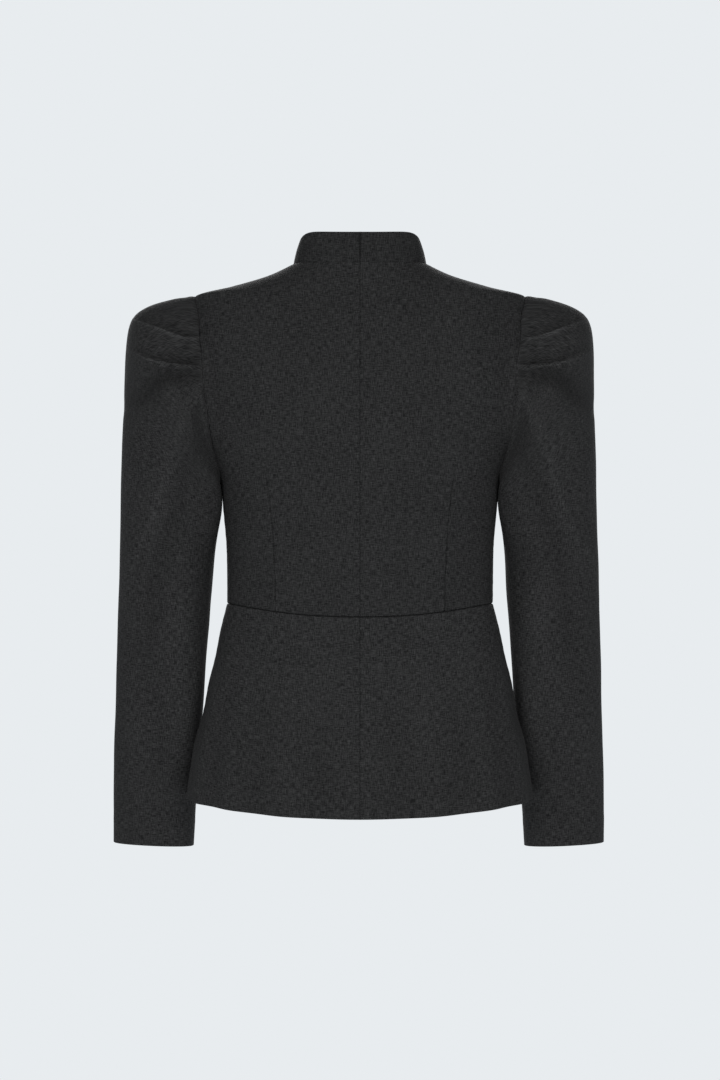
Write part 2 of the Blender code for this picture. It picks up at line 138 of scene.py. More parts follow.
# How deep the cloth rolls in at each seam, and how its inner edge is rounded.
SEAM_ROLL = 0.0010
WAIST_ROLL = 0.0017
NECK_ROLL = 0.0004
CENTRE_ROLL = 0.0007
ARMHOLE_ROLL_TOP = 0.0005
ARMHOLE_ROLL_LOW = 0.0003
ARMHOLE_TIGHT = (-0.105, -0.065)
UNDERARM_TIGHT = (-0.235, -0.205)
INNER_EDGE_ROLL = CLOTH / 2 - 0.0001

# How far sewn pieces run over each other: a hair everywhere, and more behind the armholes, where the seam
# allowances are turned in.
SEWN_OVER = 0.00018
SEAM_TURNED_IN = 0.0014
TURNED_IN_FROM_CENTRE = 0.02

# Fullness along the middle of the armhole, and the heights between which it comes and goes.
ARMHOLE_FILL = 0.0055
ARMHOLE_FILL_REACH = 0.009
ARMHOLE_FILLED = (-0.215, -0.175, -0.115, -0.075)

# The dart is a pressed groove that runs out at its tip and shapes the cloth beside it.
DART_GROOVE = 0.0017
DART_GROOVE_WIDTH = 0.0007
DART_RUNS_OUT = 0.020
DART_SHAPING = 0.0009
DART_SHAPING_REACH = 0.012
PUCKER_DEPTH = 0.00022
BODICE_UNEVENNESS = 0.0005

# Painted light and shade on the bodice: how much darker or lighter its colour is made along the dart,
# the waist seam and the shoulder seam, over the upper bodice and along the armhole.
DART_SHADE = -0.16
WAIST_SHADE = -0.45
SHOULDER_SHADE = -0.25
SHOULDER_SHADE_REACH = 0.022
UPPER_BODICE_SHADE = -0.03
UPPER_BODICE = (-0.24, -0.10)
ARMHOLE_SHADE_TOP = -0.20
ARMHOLE_SHADE_MIDDLE = 0.70
ARMHOLE_LINE = 0.0012
ARMHOLE_PAINTED_LIGHT_SPAN = (-0.205, -0.185, -0.120, -0.090)
ARMHOLE_PAINTED_SHADE_SPAN = (-0.075, -0.055)

Torso = namedtuple("Torso", "height half_width back front")
TORSO = (
    Torso(0.000, 0.0730, 0.0600, 0.0350),
    Torso(-0.0125, 0.1000, 0.0635, 0.0480),
    Torso(-0.0255, 0.1430, 0.0680, 0.0580),
    Torso(-0.0355, 0.1810, 0.0720, 0.0640),
    Torso(-0.060, 0.1880, 0.0850, 0.0730),
    Torso(-0.090, 0.1950, 0.0940, 0.0830),
    Torso(-0.130, 0.1950, 0.1000, 0.0950),
    Torso(-0.180, 0.1810, 0.0990, 0.1060),
    Torso(-0.215, 0.1645, 0.0955, 0.1110),
    Torso(-0.236, 0.1545, 0.0925, 0.1120),
    Torso(-0.274, 0.1498, 0.0870, 0.1080),
    Torso(-0.316, 0.1465, 0.0810, 0.0980),
    Torso(-0.372, 0.1459, 0.0765, 0.0890),
)

# Rows of the bodice, counted from the waist. The centre line turns into the neckline at one of them, and
# the side seam into the armhole at another.
CENTRE_ROWS, NECK_ROWS, ARMHOLE_ROWS = 17, 6, 18
BODICE_ROWS = CENTRE_ROWS + NECK_ROWS
SIDE_ROWS = BODICE_ROWS - ARMHOLE_ROWS

# The dart's column lies between two shares of a row's width, and runs out at a third.
DART_COLUMN = (0.3, 0.9)
MIDDLE_COLUMN = 0.62

# The line of a dart. It is sewn below the tip, and above it only lays out the grid.
Dart = namedtuple("Dart", "heights across tip")
BACK_DART = Dart((-0.392, -0.3755, -0.3541, -0.3240, -0.2918, -0.2552, -0.2230, -0.10, -0.03, 0.0),
                 (0.0912, 0.0914, 0.0913, 0.0928, 0.0941, 0.0978, 0.1006, 0.112, 0.118, 0.12), -0.2230)


def smooth_through(x, y):
    """Monotone cubic curve through the points (x, y), with x rising."""
    x, y = np.asarray(x, float), np.asarray(y, float)
    step = np.diff(x)
    slope = np.diff(y) / step
    tangent = np.zeros_like(y)
    tangent[0], tangent[-1] = slope[0], slope[-1]
    for i in range(1, len(x) - 1):
        if slope[i - 1] * slope[i] > 0:
            tangent[i] = 2 / (1 / slope[i - 1] + 1 / slope[i])

    def value_at(q):
        q = np.clip(q, x[0], x[-1])
        i = np.clip(np.searchsorted(x, q) - 1, 0, len(x) - 2)
        t = (q - x[i]) / step[i]
        rising = t * t * (3 - 2 * t)
        leaving = t * (1 - t) ** 2 * step[i] * tangent[i]
        arriving = t * t * (t - 1) * step[i] * tangent[i + 1]
        return (1 - rising) * y[i] + rising * y[i + 1] + leaving + arriving

    return value_at


def along(rows, key, value):
    """A smooth function through one column of a table."""
    rows = sorted(rows, key=lambda row: getattr(row, key))
    return smooth_through([getattr(row, key) for row in rows], [getattr(row, value) for row in rows])


torso_half_width = along(TORSO, "height", "half_width")
torso_depth = {BACK: along(TORSO, "height", "back"), FRONT: along(TORSO, "height", "front")}


def fade(value, start, end):
    """Goes smoothly from 0 at start to 1 at end."""
    t = np.clip((value - start) / (end - start), 0, 1)
    return t * t * (3 - 2 * t)


def band(value, start, full, fading, end):
    """Goes from 0 at start to 1 at full, and back from 1 at fading to 0 at end."""
    return fade(value, start, full) * (1 - fade(value, fading, end))


def signed_power(value, power):
    return np.sign(value) * np.abs(value) ** power


def oval(turn, half_width, depth, fullness):
    """Across and depth on a rounded section. turn is 0 on the centre line, a quarter turn at the side."""
    across = half_width * signed_power(np.sin(turn), 2 / fullness)
    return across, depth * signed_power(np.cos(turn), 2 / fullness)


def turn_at(ratio, fullness):
    """The turn at which an oval is that share of its half width across."""
    return np.arcsin(np.clip(signed_power(ratio, fullness / 2), -1, 1))


def bodice_point(side, turn, height):
    """A point of the bodice, fuller over the bust in front."""
    x, depth = oval(turn, torso_half_width(height), torso_depth[side](height), BODY_FULLNESS)
    if side == FRONT:
        far = ((np.abs(x) - BUST_ACROSS) ** 2 + (height - BUST_HEIGHT) ** 2) / BUST_SPREAD ** 2
        depth = depth + BUST_RISE * np.exp(-far) * fade(np.abs(np.cos(turn)), 0.0, 0.5)
    return np.stack([x, side * depth, height], axis=-1)


def unit(vectors):
    return vectors / np.linalg.norm(vectors, axis=-1, keepdims=True)


def outward(surface, turn, level, turn_step=1e-3, level_step=1e-4):
    """Unit normals of surface(turn, level), pointing away from the body."""
    around = surface(turn + turn_step, level) - surface(turn - turn_step, level)
    upward = surface(turn, level + level_step) - surface(turn, level - level_step)
    normal = unit(np.cross(around, upward))
    away = surface(turn, level) * (1, 1, 0) + (0, 0, 0.02)
    return normal * np.sign(np.sum(normal * away, axis=-1, keepdims=True))


def waist_height(turn):
    """The waist seam dips towards the centre line."""
    return WAIST_SIDE_HEIGHT - WAIST_CENTRE_DIP * np.abs(np.cos(turn)) ** WAIST_CURVE


def neckline(side, turn):
    """Across and height along the neckline, from the centre line to the neck point."""
    if side == BACK:
        across = NECK_HALF_WIDTH * signed_power(np.sin(turn), 2 / BODY_FULLNESS)
        return across, -NECK_DROP_BACK * np.cos(turn) ** 2
    return NECK_HALF_WIDTH * np.sin(turn), -NECK_DROP_FRONT * np.abs(np.cos(turn)) ** NECK_FRONT_CURVE


def armhole(side, turn):
    """Depth and height round the armhole, from the shoulder tip at 0 to the underarm at half a turn."""
    depth = np.where(side == BACK, ARMHOLE_BACK, ARMHOLE_FRONT)
    return depth * np.sin(turn), ARMHOLE_MIDDLE + ARMHOLE_REACH * np.cos(turn)


def body_turn_at_depth(side, depth, height):
    """Where round the body its section is that deep."""
    share = np.clip(depth / torso_depth[side](height), 0, 1)
    return np.arccos(share ** (BODY_FULLNESS / 2))


def graded(length, fine_start=True, fine_end=True, finest=0.00035, widest=0.0028, growth=1.32):
    """Shares from 0 to 1 along a length, closely spaced at the ends that carry a seam."""
    def half(fine):
        steps, step = [], finest if fine else widest
        while sum(steps) < length / 2:
            steps.append(step)
            step = min(step * growth, widest)
        places = np.concatenate([[0], np.cumsum(steps)])
        return places / places[-1] / 2
    return np.concatenate([half(fine_start), 1 - half(fine_end)[-2::-1]])


def bodice_ends(side, past_centre, row):
    """Turn and height where a row of the bodice starts, at the centre, and ends, at the side."""
    neck_start = -math.asin(past_centre / NECK_HALF_WIDTH)
    neck_height = neckline(side, neck_start)[1]
    foot = waist_height(-turn_at(past_centre / torso_half_width(WAIST_SIDE_HEIGHT), BODY_FULLNESS))
    if row <= CENTRE_ROWS:
        near_x, near_height = -past_centre, foot + (neck_height - foot) * row / CENTRE_ROWS
    else:
        share = (row - CENTRE_ROWS) / NECK_ROWS
        near_x, near_height = neckline(side, neck_start + (math.pi / 2 - neck_start) * share)
    near_turn = turn_at(near_x / torso_half_width(near_height), BODY_FULLNESS)
    if row >= BODICE_ROWS:
        near_turn = math.pi / 2
    if row <= SIDE_ROWS:
        far_height = WAIST_SIDE_HEIGHT + (UNDERARM_HEIGHT - WAIST_SIDE_HEIGHT) * row / SIDE_ROWS
        return near_turn, near_height, math.pi / 2, far_height
    depth, far_height = armhole(side, math.pi * (BODICE_ROWS - row) / ARMHOLE_ROWS)
    return near_turn, near_height, body_turn_at_depth(side, depth, far_height), far_height


def bodice_grid(side, past_centre, dart):
    """Turn and height of every point of a bodice half, and which column lies on the dart line."""
    rows = np.concatenate([graded(0.10, True, False) * SIDE_ROWS,
                           SIDE_ROWS + graded(0.18, False, False)[1:] * (CENTRE_ROWS - SIDE_ROWS),
                           CENTRE_ROWS + graded(0.10, False, True)[1:] * NECK_ROWS])
    inner, outer = graded(0.100), graded(0.065)
    dart_across = smooth_through(dart.heights, dart.across)
    turns, heights = [], []
    for row in rows:
        near_turn, near_height, far_turn, far_height = bodice_ends(side, past_centre, row)
        low, high = DART_COLUMN
        for _ in range(30):
            share = (low + high) / 2
            height = near_height + (far_height - near_height) * math.sin(share * math.pi / 2) ** 2
            turn = near_turn + (far_turn - near_turn) * share
            x = oval(turn, torso_half_width(height), 0, BODY_FULLNESS)[0]
            low, high = (share, high) if x < dart_across(height) else (low, share)
        share = MIDDLE_COLUMN + (share - MIDDLE_COLUMN) * (1 - fade(row, SIDE_ROWS, CENTRE_ROWS))
        across = np.concatenate([inner * share, share + outer[1:] * (1 - share)])
        turn = near_turn + (far_turn - near_turn) * across
        height = near_height + (far_height - near_height) * np.sin(across * math.pi / 2) ** 2
        if row < SIDE_ROWS:
            height += (waist_height(turn) - waist_height(near_turn)
                       - (WAIST_SIDE_HEIGHT - waist_height(near_turn)) * np.sin(across * math.pi / 2) ** 2
                       ) * (1 - row / SIDE_ROWS) ** 2
        turns.append(turn)
        heights.append(height)
    return rows, np.array(turns), np.array(heights), len(inner) - 1


def edge_distances(points):
    """How far a grid's points lie, along it, from its near, far, low and high edges."""
    def run(axis):
        steps = np.linalg.norm(np.diff(points, axis=axis), axis=-1)
        return np.concatenate([np.zeros_like(np.take(steps, [0], axis)), np.cumsum(steps, axis)], axis)
    near, low = run(1), run(0)
    return near, near[:, -1:] - near, low, low[-1:] - low


def rolled(distance, radius):
    """How far a rounded edge has dropped, by the distance from it."""
    inside = np.clip(radius - distance, 0, radius)
    return radius - np.sqrt(radius ** 2 - inside ** 2)


def sewn(points, over=SEWN_OVER):
    """Draws the edges of a grid out a little, so that pieces sewn together close and no light shows."""
    points, over = points.copy(), np.broadcast_to(np.asarray(over)[..., None], points.shape)
    for axis in (0, 1):
        moved, reach = np.moveaxis(points, axis, 0), np.moveaxis(over, axis, 0)
        for edge, inner in ((0, 1), (-1, -2)):
            outwards = moved[edge] - moved[inner]
            length = np.linalg.norm(outwards, axis=-1, keepdims=True) + 1e-9
            moved[edge] += outwards / length * reach[edge]
    return points


def armhole_roll(height):
    """The armhole seam is drawn in most at the shoulder and least along its middle."""
    tight = fade(height, *ARMHOLE_TIGHT) + 0.3 * (1 - fade(height, *UNDERARM_TIGHT))
    return ARMHOLE_ROLL_LOW + (ARMHOLE_ROLL_TOP - ARMHOLE_ROLL_LOW) * tight


def armhole_fill(points, distance, side):
    """Cloth that fills out the angle between body and sleeve along the middle of the armhole."""
    fill = ARMHOLE_FILL * band(points[..., 2], *ARMHOLE_FILLED) * seam_line(distance, ARMHOLE_FILL_REACH)
    return points + (side * fill)[..., None] * (0, 1, 0)


def ripple(points, wavelength, seed):
    """Gentle unevenness of worked cloth, from -1 to 1."""
    draw = np.random.default_rng(seed)
    total = np.zeros(points.shape[:-1])
    for _ in range(7):
        way = draw.normal(size=3)
        way *= 2 * math.pi / wavelength * draw.uniform(0.7, 1.3) / np.linalg.norm(way)
        total += np.sin(points @ way + draw.uniform(0, 2 * math.pi))
    return total / 7


def puckers(distance, run, seed, reach=0.007, wavelength=0.011):
    """The small drawn-up waves along a line of stitches."""
    draw = np.random.default_rng(seed)
    wave = sum(np.sin(2 * math.pi * run / (wavelength * draw.uniform(0.7, 1.5)) + draw.uniform(0, 6))
               for _ in range(3)) / 3
    return wave * np.exp(-(distance / reach) ** 2)


def seam_line(distance, width=0.0007):
    """1 on a seam or fold, and fading to 0 beyond that width on either side."""
    return np.exp(-(distance / width) ** 2)


def armhole_shade(height):
    """Painted shade at the shoulder, and painted light along the middle of the armhole over the shade of
    its crease.
    """
    return (ARMHOLE_SHADE_MIDDLE * band(height, *ARMHOLE_PAINTED_LIGHT_SPAN)
            + ARMHOLE_SHADE_TOP * fade(height, *ARMHOLE_PAINTED_SHADE_SPAN))


class Wire:
    """A shader socket that can be used in Python arithmetic."""

    def __init__(self, tree, socket=None):
        self.tree, self.socket = tree, socket

    def add(self, kind, settings, inputs, output=0):
        node = self.tree.nodes.new(kind)
        for name, value in settings.items():
            setattr(node, name, value)
        for name, value in inputs.items():
            if isinstance(value, Wire):
                self.tree.links.new(value.socket, node.inputs[name])
            else:
                node.inputs[name].default_value = value
        return Wire(self.tree, node.outputs[output])

    def maths(self, operation, first, second):
        return self.add("ShaderNodeMath", {"operation": operation}, {0: first, 1: second})

    def __add__(self, other):
        return self.maths("ADD", self, other)

    def __mul__(self, other):
        return self.maths("MULTIPLY", self, other)

    def __sub__(self, other):
        return self.maths("SUBTRACT", self, other)


# The darkest and lightest mix of fibres, and the sizes of what the wool shows: a yarn's width, the length
# over which it keeps its shade, flecks and clouds. The parts say how much each counts.
DARK_FIBRE = (0.0050, 0.0050, 0.0052, 1.0)
LIGHT_FIBRE = (0.0372, 0.0372, 0.0374, 1.0)
YARN = 0.00085
YARN_RUN = 0.0068
FLECK = 1.3 * YARN
CLOUD = (0.045, 0.060)
YARN_PART, FLECK_PART, CLOUD_PART, PARTS_LESS = 1.22, 0.50, 0.15, 1.195


def wool_cloth(name):
    """Charcoal melange wool: light and dark fibres spun together, in a fine even weave."""
    material = bpy.data.materials.new(name)
    material.use_nodes = True
    tree = material.node_tree
    shader = tree.nodes["Principled BSDF"]
    grain = Wire(tree).add("ShaderNodeUVMap", {"uv_map": "grain"}, {})

    def noise(across, up, detail):
        spread = grain.add("ShaderNodeMapping", {}, {"Vector": grain, "Scale": (1 / across, 1 / up, 1)})
        return grain.add("ShaderNodeTexNoise", {"noise_dimensions": "2D"},
                         {"Vector": spread, "Scale": 1.0, "Detail": detail, "Roughness": 0.6})

    warp = noise(YARN, YARN_RUN, 1.0)
    weft = noise(YARN_RUN, YARN, 1.0)
    fleck = noise(FLECK, FLECK, 2.0)
    cloud = noise(*CLOUD, 2.0)
    mix = (warp + weft) * YARN_PART + fleck * FLECK_PART + cloud * CLOUD_PART - PARTS_LESS
    fibres = grain.add("ShaderNodeMix", {"data_type": "RGBA"},
                       {"Factor": mix, "A": DARK_FIBRE, "B": LIGHT_FIBRE}, output=2)
    # Each piece's painted light and shade scale the fibres' colour: lighter where light falls, darker where
    # shade falls.
    painted_shading = grain.add("ShaderNodeAttribute", {"attribute_name": "painted_shading"}, {}, output=2)
    tone = grain.add("ShaderNodeVectorMath", {"operation": "SCALE"},
                     {"Vector": fibres, "Scale": painted_shading + 1})
    tree.links.new(tone.socket, shader.inputs["Base Color"])
    threads = warp * 0.5 + weft * 0.5 + fleck * 0.6
    bump = grain.add("ShaderNodeBump", {}, {"Height": threads, "Strength": 0.35, "Distance": 0.0007})
    tree.links.new(bump.socket, shader.inputs["Normal"])
    shader.inputs["Roughness"].default_value = 0.88
    shader.inputs["Specular IOR Level"].default_value = 0.14
    shader.inputs["Sheen Weight"].default_value = 0.01
    shader.inputs["Sheen Roughness"].default_value = 0.5
    return material


wool = wool_cloth("charcoal_wool")


def arc_lengths(surface, turns, levels, steps=24):
    """Length round the body at each point's own level, from the centre line."""
    shares = np.linspace(0, 1, steps + 1)[:, None, None]
    walk = surface(turns[None] * shares, levels[None] + shares * 0)
    return np.sign(turns) * np.linalg.norm(np.diff(walk, axis=0), axis=-1).sum(0)


def sew(name, node, outer, inner, grain, painted_shading, flat, held, area):
    """Makes one cut piece: an outer and an inner face of cloth, closed round its edges, with its grain."""
    rows, columns = outer.shape[:2]
    count = rows * columns
    index = np.arange(count).reshape(rows, columns)
    quads = [np.stack([index[:-1, :-1], index[1:, :-1], index[1:, 1:], index[:-1, 1:]], -1).reshape(-1, 4)]
    quads.append(quads[0][:, ::-1] + count)
    for line, turned in ((index[0], False), (index[-1], True), (index[:, 0], True), (index[:, -1], False)):
        edge = np.stack([line[:-1], line[1:], line[1:] + count, line[:-1] + count], -1)
        quads.append(edge[:, ::-1] if turned else edge)
    faces = np.concatenate(quads)
    corner = outer[rows // 2, columns // 2]
    across, up = outer[rows // 2, columns // 2 + 1] - corner, outer[rows // 2 + 1, columns // 2] - corner
    # The outer face looks outwards, whichever way round the grid runs.
    if np.cross(up, across) @ (corner - inner[rows // 2, columns // 2]) < 0:
        faces = faces[:, ::-1]
    mesh = bpy.data.meshes.new(name)
    mesh.from_pydata(np.concatenate([outer.reshape(-1, 3), inner.reshape(-1, 3)]), [], faces)
    grain = np.stack(grain, -1).reshape(-1, 2)
    layer = mesh.uv_layers.new(name="grain")
    corners = np.zeros(len(mesh.loops), np.int32)
    mesh.loops.foreach_get("vertex_index", corners)
    layer.data.foreach_set("uv", grain[corners % count].astype(np.float32).ravel())
    # Painted light and shade on the outer face, none on the inner.
    painted_shading_attribute = mesh.attributes.new("painted_shading", "FLOAT", "POINT")
    shades = np.concatenate([painted_shading.ravel(), np.zeros(count)])
    painted_shading_attribute.data.foreach_set("value", shades.astype(np.float32))
    mesh.shade_smooth()
    mesh.materials.append(wool)
    piece = bpy.data.objects.new(name, mesh)
    bpy.context.collection.objects.link(piece)
    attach(piece, "root")
    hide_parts(node)


OTHER_CLOTH = (0.37, 0.11)


def mirrored(half):
    """The other half, its grain taken from another part of the cloth."""
    outer, inner, (across, up), painted_shading = half
    grain = across + OTHER_CLOTH[0], up + OTHER_CLOTH[1]
    return outer * (-1, 1, 1), inner * (-1, 1, 1), grain, painted_shading


def bodice_half(side, past_centre, lifted, dart, seed):
    """Outer and inner faces of one bodice half, as the wearer's left."""
    rows, turns, heights, dart_column = bodice_grid(side, past_centre, dart)
    surface = lambda turn, height: bodice_point(side, turn, height)
    base = surface(turns, heights)
    normals = outward(surface, turns, heights)
    if lifted:
        base = lapped(base, normals)
    from_near, from_far, from_waist, from_shoulder = edge_distances(base)
    from_dart = np.abs(from_near - from_near[:, dart_column:dart_column + 1])
    sewn_dart = fade(dart.tip - heights, 0.0, DART_RUNS_OUT)
    groove = DART_GROOVE * seam_line(from_dart, DART_GROOVE_WIDTH) * sewn_dart
    shaping = DART_SHAPING * np.exp(-from_dart / DART_SHAPING_REACH) * fade(dart.tip - heights, -0.01, 0.05)
    lie = BODICE_UNEVENNESS * ripple(base, 0.09, seed)
    drawn = PUCKER_DEPTH * (puckers(from_near, from_waist, seed + 1) * (past_centre == 0)
                            + puckers(from_waist, from_near, seed + 2)
                            + puckers(from_far, from_waist, seed + 3)
                            + 0.8 * puckers(from_dart, from_waist, seed + 4) * sewn_dart)
    at_armhole = rows[:, None] > SIDE_ROWS
    free = (rows[:, None] < CENTRE_ROWS) * (past_centre > 0)
    near_roll = np.where(rows[:, None] > CENTRE_ROWS, NECK_ROLL, CENTRE_ROLL)
    near_drop = np.where(free, rolled(from_near, CLOTH / 2), rolled(from_near, near_roll))
    side_roll = np.where(at_armhole, armhole_roll(heights), SEAM_ROLL)
    drop = np.maximum.reduce([near_drop, rolled(from_far, side_roll), rolled(from_waist, WAIST_ROLL),
                              rolled(from_shoulder, SEAM_ROLL)])
    to_armhole = np.where(at_armhole, from_far, 1.0)
    base = armhole_fill(base, to_armhole, side)
    level = (lie + drawn + shaping)[..., None]
    outer = base + normals * (level - drop[..., None] - groove[..., None])
    inner = base + normals * (level - CLOTH + (rolled(from_near, INNER_EDGE_ROLL) * free)[..., None])
    # Painted shade along the dart, the waist seam and the shoulder seam and over the upper bodice, and
    # painted light and shade along the armhole.
    painted_shading = DART_SHADE * seam_line(from_dart) * sewn_dart + WAIST_SHADE * seam_line(from_waist, 0.0009)
    painted_shading += armhole_shade(heights) * seam_line(to_armhole, ARMHOLE_LINE)
    painted_shading += SHOULDER_SHADE * (1 - fade(from_shoulder, 0.0, SHOULDER_SHADE_REACH))
    painted_shading += UPPER_BODICE_SHADE * fade(heights, *UPPER_BODICE)
    turned_in = np.where(at_armhole & (from_near > TURNED_IN_FROM_CENTRE), SEAM_TURNED_IN, SEWN_OVER)
    return sewn(outer), sewn(inner, turned_in), (arc_lengths(surface, turns, heights), heights), painted_shading


back_left = bodice_half(BACK, 0.0, False, BACK_DART, 11)
sew("back_left_half", "back_left", *back_left, (0.206, 0.40), "hung", 0.0745)
back_right = mirrored(bodice_half(BACK, 0.0, False, BACK_DART, 31))
sew("back_right_half", "back_right", *back_right, (0.206, 0.40), "hung", 0.0745)

# Front halves, of the same wool. They are the side away from the photograph, so they are plain: one waist
# dart each, and the right front laps over the left by 24 mm and is held by hidden hooks.
NECK_DROP_FRONT = 0.075
NECK_FRONT_CURVE = 2.3
BUST_ACROSS = 0.082
BUST_HEIGHT = -0.222
BUST_SPREAD = 0.052
BUST_RISE = 0.011
LAP_PAST_CENTRE = 0.012
LAP_LIFT = 0.0032
LAP_FADES = (0.014, 0.060)
FRONT_DART = Dart((-0.392, -0.372, -0.33, -0.29, -0.256, -0.20, -0.10, -0.03, 0.0),
                  (0.0720, 0.0728, 0.0760, 0.0790, 0.0810, 0.0850, 0.100, 0.110, 0.112), -0.256)


def lapped(points, normals):
    """Lays the upper front out over the lower one, from its free edge back to its own side."""
    return points + unit(normals * (1, 1, 0)) * LAP_LIFT * (1 - fade(points[..., :1], *LAP_FADES))


front_left = bodice_half(FRONT, LAP_PAST_CENTRE, False, FRONT_DART, 51)
sew("front_left_half", "front_left", *front_left, (0.24, 0.41), "hung", 0.0745)
front_right = mirrored(bodice_half(FRONT, LAP_PAST_CENTRE, True, FRONT_DART, 71))
sew("front_right_half", "front_right", *front_right, (0.24, 0.41), "hung", 0.0745)


# The peplum. Four flared pieces of the wool hang from the waist seam in shallow flutes, with a centre-back
# seam, side seams, and a plain turned-up hem. The fronts lap like the bodice.
PEPLUM_LENGTH = 0.2145
PEPLUM_CENTRE_SHORTER = 0.0015
FLUTES_A_QUARTER = 4
FLUTE_DEPTH = 0.0015
# Painted light and shade on the peplum: lighter flute crests and darker troughs, the whole peplum lighter,
# darker towards the hem, and a painted shadow under the waist seam with a painted highlight just below it.
FLUTE_SHADE = 0.055
PEPLUM_PAINTED_LIGHT = 0.12
PEPLUM_HEM_SHADE = -0.08
BELOW_WAIST_SHADE = 0.10
PEPLUM_WAIST_SHADE = -0.30
PEPLUM_UNEVENNESS = 0.0006
PEPLUM_GRAIN = 0.21
HEM_LIFT = 0.00025
HEM_STITCHES = (0.028, 0.036)

Flare = namedtuple("Flare", "drop half_width back front")
PEPLUM = (
    Flare(0.000, 0.1459, 0.0765, 0.0890),
    Flare(0.030, 0.1535, 0.0850, 0.0960),
    Flare(0.058, 0.1590, 0.0920, 0.1020),
    Flare(0.087, 0.1664, 0.0985, 0.1080),
    Flare(0.121, 0.1727, 0.1050, 0.1140),
    Flare(0.155, 0.1822, 0.1110, 0.1195),
    Flare(0.187, 0.1868, 0.1160, 0.1240),
    Flare(0.220, 0.1914, 0.1200, 0.1280),
)
peplum_half_width = along(PEPLUM, "drop", "half_width")
peplum_depth = {BACK: along(PEPLUM, "drop", "back"), FRONT: along(PEPLUM, "drop", "front")}


def peplum_point(side, turn, drop):
    """A point of the peplum, drop metres below the waist seam."""
    x, depth = oval(turn, peplum_half_width(drop), peplum_depth[side](drop), BODY_FULLNESS)
    wave = FLUTE_DEPTH * (np.abs(drop) / PEPLUM_LENGTH) ** 1.5 * (np.cos(4 * FLUTES_A_QUARTER * turn) - 1)
    spread = 1 + wave / np.hypot(x, depth)
    return np.stack([x * spread, side * depth * spread, waist_height(turn) - drop], axis=-1)


def hem_lift(distance):
    """The cloth turned up behind a hem lifts it, up to the hidden stitches."""
    return HEM_LIFT * (1 - fade(distance, *HEM_STITCHES))


def peplum_half(side, past_centre, lifted, seed):
    """Outer and inner faces of one peplum half, as the wearer's left."""
    start = -turn_at(past_centre / PEPLUM[0].half_width, BODY_FULLNESS)
    turns, shares = np.meshgrid(start + (math.pi / 2 - start) * graded(0.20), graded(PEPLUM_LENGTH))
    drops = shares[::-1] * (PEPLUM_LENGTH - PEPLUM_CENTRE_SHORTER * np.cos(turns) ** 2)
    surface = lambda turn, drop: peplum_point(side, turn, drop)
    base = surface(turns, drops)
    normals = outward(surface, turns, drops)
    if lifted:
        base = lapped(base, normals)
    from_near, from_far, from_hem, from_waist = edge_distances(base)
    free = past_centre > 0
    lie = PEPLUM_UNEVENNESS * ripple(base, 0.11, seed) * fade(from_waist, 0, 0.05)
    drawn = PUCKER_DEPTH * (puckers(from_near, from_hem, seed + 1) * (not free)
                            + puckers(from_waist, from_near, seed + 2)
                            + puckers(from_far, from_hem, seed + 3))
    near_roll = CLOTH / 2 if free else CENTRE_ROLL
    drop = np.maximum.reduce([rolled(from_near, near_roll), rolled(from_far, SEAM_ROLL),
                              rolled(from_waist, WAIST_ROLL), rolled(from_hem, CLOTH / 2)])
    inner_roll = np.maximum(rolled(from_hem, INNER_EDGE_ROLL), rolled(from_near, INNER_EDGE_ROLL) * free)
    level = (lie + drawn + hem_lift(from_hem))[..., None]
    outer = base + normals * (level - drop[..., None])
    inner = base + normals * (level - CLOTH + inner_roll[..., None])
    # Painted light over the peplum, a painted shadow under the waist seam with a painted highlight below
    # it, lighter flute crests and darker troughs, and darker towards the hem.
    painted_shading = PEPLUM_PAINTED_LIGHT + PEPLUM_WAIST_SHADE * seam_line(from_waist)
    painted_shading += BELOW_WAIST_SHADE * seam_line(from_waist - 0.0030, 0.0018)
    painted_shading += FLUTE_SHADE * np.cos(4 * FLUTES_A_QUARTER * turns) * fade(drops, 0.03, 0.16)
    painted_shading += PEPLUM_HEM_SHADE * fade(drops, 0.06, 0.16)
    grain = arc_lengths(surface, turns, drops) + PEPLUM_GRAIN, -drops
    return sewn(outer), sewn(inner), grain, painted_shading


for node, side, past, lifted, seed, flip in (
        ("peplum_back_left", BACK, 0.0, False, 111, False),
        ("peplum_back_right", BACK, 0.0, False, 131, True),
        ("peplum_front_left", FRONT, LAP_PAST_CENTRE, False, 151, False),
        ("peplum_front_right", FRONT, LAP_PAST_CENTRE, True, 171, True)):
    half = peplum_half(side, past, lifted, seed)
    flat, area = ((0.255, 0.22), 0.049) if side == BACK else ((0.275, 0.22), 0.0534)
    sew(node + "_piece", node, *(mirrored(half) if flip else half), flat, "hung", area)


# The stand collar. Two halves of the wool, seamed at the centre back and sewn to the neckline, cut straight
# and pressed firm, so the free edge is crisp and stands in towards the neck.
COLLAR_CLOTH = 0.0026
COLLAR_TOP_HALF_WIDTH = 0.0655
COLLAR_TOP_BACK = 0.054
COLLAR_TOP_FRONT = 0.072
COLLAR_STAND_BACK = 0.0338
COLLAR_STAND_SIDE = 0.0268
COLLAR_STAND_FRONT = 0.028
COLLAR_BACK_FULLNESS = 2.8
COLLAR_FRONT_FULLNESS = 2.0
COLLAR_CORNER = 9
# Painted shade: the collar is painted darker all over, and darker still along its centre-back seam.
COLLAR_SHADE = -0.15
COLLAR_SEAM_SHADE = -0.25
COLLAR_BOW = 0.0009
COLLAR_PUCKER_DEPTH = 0.00016
COLLAR_CENTRE_ROLL = 0.0013
COLLAR_GRAIN = 0.53


